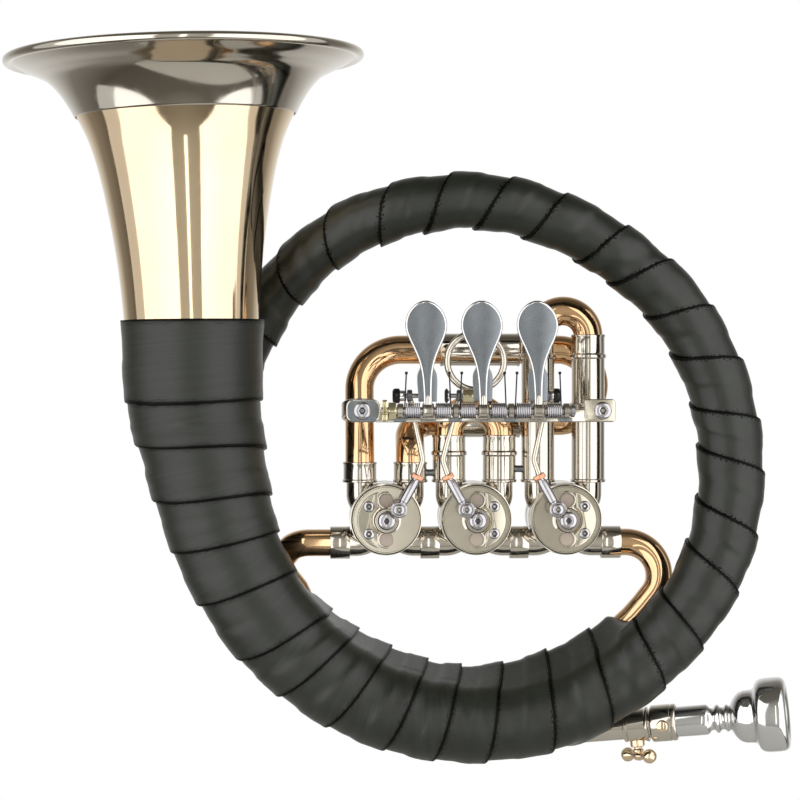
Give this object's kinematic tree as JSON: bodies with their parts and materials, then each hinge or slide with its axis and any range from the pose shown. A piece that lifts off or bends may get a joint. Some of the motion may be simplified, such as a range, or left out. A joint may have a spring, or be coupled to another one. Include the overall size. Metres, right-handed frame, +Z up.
{
  "type": "pless horn",
  "caption": "Small valved hunting horn: an upright bell and a leather-bound coil around rotary valves with sprung levers, links and tuning slides, and a removable mouthpiece.",
  "frame": {"origin": "inside of the coil's top, where the horn hangs on a peg", "axes": "+X along the coil's width to the mouthpiece's side, +Z up along the bell, -Y the side with the levers, from which the picture is taken"},
  "size_m": [0.3094, 0.1398, 0.2815],
  "materials": {
    "gold_brass": "polished",
    "bronze_tube": "polished",
    "steel": "satin",
    "silver_plate": "polished",
    "leather": "satin",
    "nickel_silver": "polished"
  },
  "bodies": {
    "horn": {"bell": "gold_brass", "bell_garland": "nickel_silver", "bumper_plate_1": "nickel_silver", "bumper_plate_2": "nickel_silver", "bumper_plate_3": "nickel_silver", "casing_1": "bronze_tube", "casing_2": "bronze_tube", "casing_3": "bronze_tube", "clamp_collar": "gold_brass", "coil_tube": "gold_brass", "front_cover_1": "nickel_silver", "front_cover_2": "nickel_silver", "front_cover_3": "nickel_silver", "hinge_rail": "nickel_silver", "hinge_rod": "steel", "inlet_tube": "bronze_tube", "leg_long": "nickel_silver", "leg_tall": "nickel_silver", "legs_long_short": "nickel_silver", "legs_short_tall": "nickel_silver", "long_sleeve_high": "nickel_silver", "long_sleeve_low": "nickel_silver", "long_tube_high": "bronze_tube", "long_tube_low": "bronze_tube", "mouthpipe": "nickel_silver", "post_left": "nickel_silver", "post_right": "nickel_silver", "rear_cap_1": "nickel_silver", "rear_cap_2": "nickel_silver", "rear_cap_3": "nickel_silver", "return_tube": "bronze_tube", "run_sleeve_left": "nickel_silver", "run_sleeve_right": "nickel_silver", "spring_1": "steel", "spring_2": "steel", "spring_3": "steel", "wrap_bottom": "leather", "wrap_left": "leather", "wrap_side": "leather", "wrap_throat": "leather", "wrap_upper": "leather"},
    "slide_short": {"slide_short": "bronze_tube"},
    "slide_tall": {"slide_tall": "bronze_tube"},
    "slide_long": {"slide_long": "bronze_tube"},
    "receiver": {"mouthpiece_receiver": "nickel_silver"},
    "mouthpiece": {"mouthpiece": "silver_plate"},
    "clamp_screw": {"clamp_screw": "gold_brass"},
    "lever_1": {"lever_1": "nickel_silver"},
    "rotor_1": {"rotor_1": "gold_brass", "stop_arm_1": "nickel_silver"},
    "link_1": {"link_1": "nickel_silver"},
    "lever_2": {"lever_2": "nickel_silver"},
    "rotor_2": {"rotor_2": "gold_brass", "stop_arm_2": "nickel_silver"},
    "link_2": {"link_2": "nickel_silver"},
    "lever_3": {"lever_3": "nickel_silver"},
    "rotor_3": {"rotor_3": "gold_brass", "stop_arm_3": "nickel_silver"},
    "link_3": {"link_3": "nickel_silver"}
  },
  "joints": [
    {"name": "lever_1_press", "type": "hinge", "parent": "horn", "child": "lever_1", "pos_m": [-0.0179, -0.032, -0.07058], "axis": [-1, 0, 0], "range_deg": [0, 18.84], "stiffness_Nm_per_rad": 0.1, "springref_deg": -14.32},
    {"name": "rotor_1_turn", "type": "hinge", "parent": "horn", "child": "rotor_1", "pos_m": [-0.0326, 0.022, -0.11438], "axis": [0, 1, 0], "range_deg": [0, 90]},
    {"name": "link_1_swing", "type": "hinge", "parent": "rotor_1", "child": "link_1", "pos_m": [-0.02793, -0.004, -0.10971], "axis": [0, 1, 0], "range_deg": [-90, 0]},
    {"name": "lever_2_press", "type": "hinge", "parent": "horn", "child": "lever_2", "pos_m": [0.0031, -0.032, -0.07058], "axis": [-1, 0, 0], "range_deg": [0, 18.84], "stiffness_Nm_per_rad": 0.1, "springref_deg": -14.32},
    {"name": "rotor_2_turn", "type": "hinge", "parent": "horn", "child": "rotor_2", "pos_m": [0.0031, 0.022, -0.11438], "axis": [0, -1, 0], "range_deg": [0, 90]},
    {"name": "link_2_swing", "type": "hinge", "parent": "rotor_2", "child": "link_2", "pos_m": [-0.00157, -0.004, -0.10971], "axis": [0, -1, 0], "range_deg": [-90, 0]},
    {"name": "lever_3_press", "type": "hinge", "parent": "horn", "child": "lever_3", "pos_m": [0.0241, -0.032, -0.07058], "axis": [-1, 0, 0], "range_deg": [0, 18.84], "stiffness_Nm_per_rad": 0.1, "springref_deg": -14.32},
    {"name": "rotor_3_turn", "type": "hinge", "parent": "horn", "child": "rotor_3", "pos_m": [0.0388, 0.022, -0.11438], "axis": [0, -1, 0], "range_deg": [0, 90]},
    {"name": "link_3_swing", "type": "hinge", "parent": "rotor_3", "child": "link_3", "pos_m": [0.03413, -0.004, -0.10971], "axis": [0, -1, 0], "range_deg": [-90, 0]},
    {"name": "slide_short_draw", "type": "slide", "parent": "horn", "child": "slide_short", "axis": [0, 0, 1], "range_m": [0, 0.014]},
    {"name": "slide_tall_draw", "type": "slide", "parent": "horn", "child": "slide_tall", "axis": [0, 0, 1], "range_m": [0, 0.015]},
    {"name": "slide_long_draw", "type": "slide", "parent": "horn", "child": "slide_long", "axis": [1, 0, 0], "range_m": [0, 0.02]},
    {"name": "receiver_draw", "type": "slide", "parent": "horn", "child": "receiver", "axis": [0.9665, -0.2338, 0.1063], "range_m": [0, 0.01]},
    {"name": "mouthpiece_pull", "type": "slide", "parent": "receiver", "child": "mouthpiece", "axis": [0.9665, -0.2338, 0.1063], "range_m": [0, 0.009]},
    {"name": "clamp_screw_turn", "type": "hinge", "parent": "horn", "child": "clamp_screw", "pos_m": [0.06686, 0.01166, -0.19672], "axis": [0.1093, 0, -0.994], "range_deg": [-180, 180]}
  ],
  "couplings": [
    {"joint": "rotor_1_turn", "follows": "lever_1_press", "ratio": 4.7745},
    {"joint": "link_1_swing", "follows": "lever_1_press", "ratio": -4.7745},
    {"joint": "rotor_2_turn", "follows": "lever_2_press", "ratio": 4.7745},
    {"joint": "link_2_swing", "follows": "lever_2_press", "ratio": -4.7745},
    {"joint": "rotor_3_turn", "follows": "lever_3_press", "ratio": 4.7745},
    {"joint": "link_3_swing", "follows": "lever_3_press", "ratio": -4.7745}
  ]
}
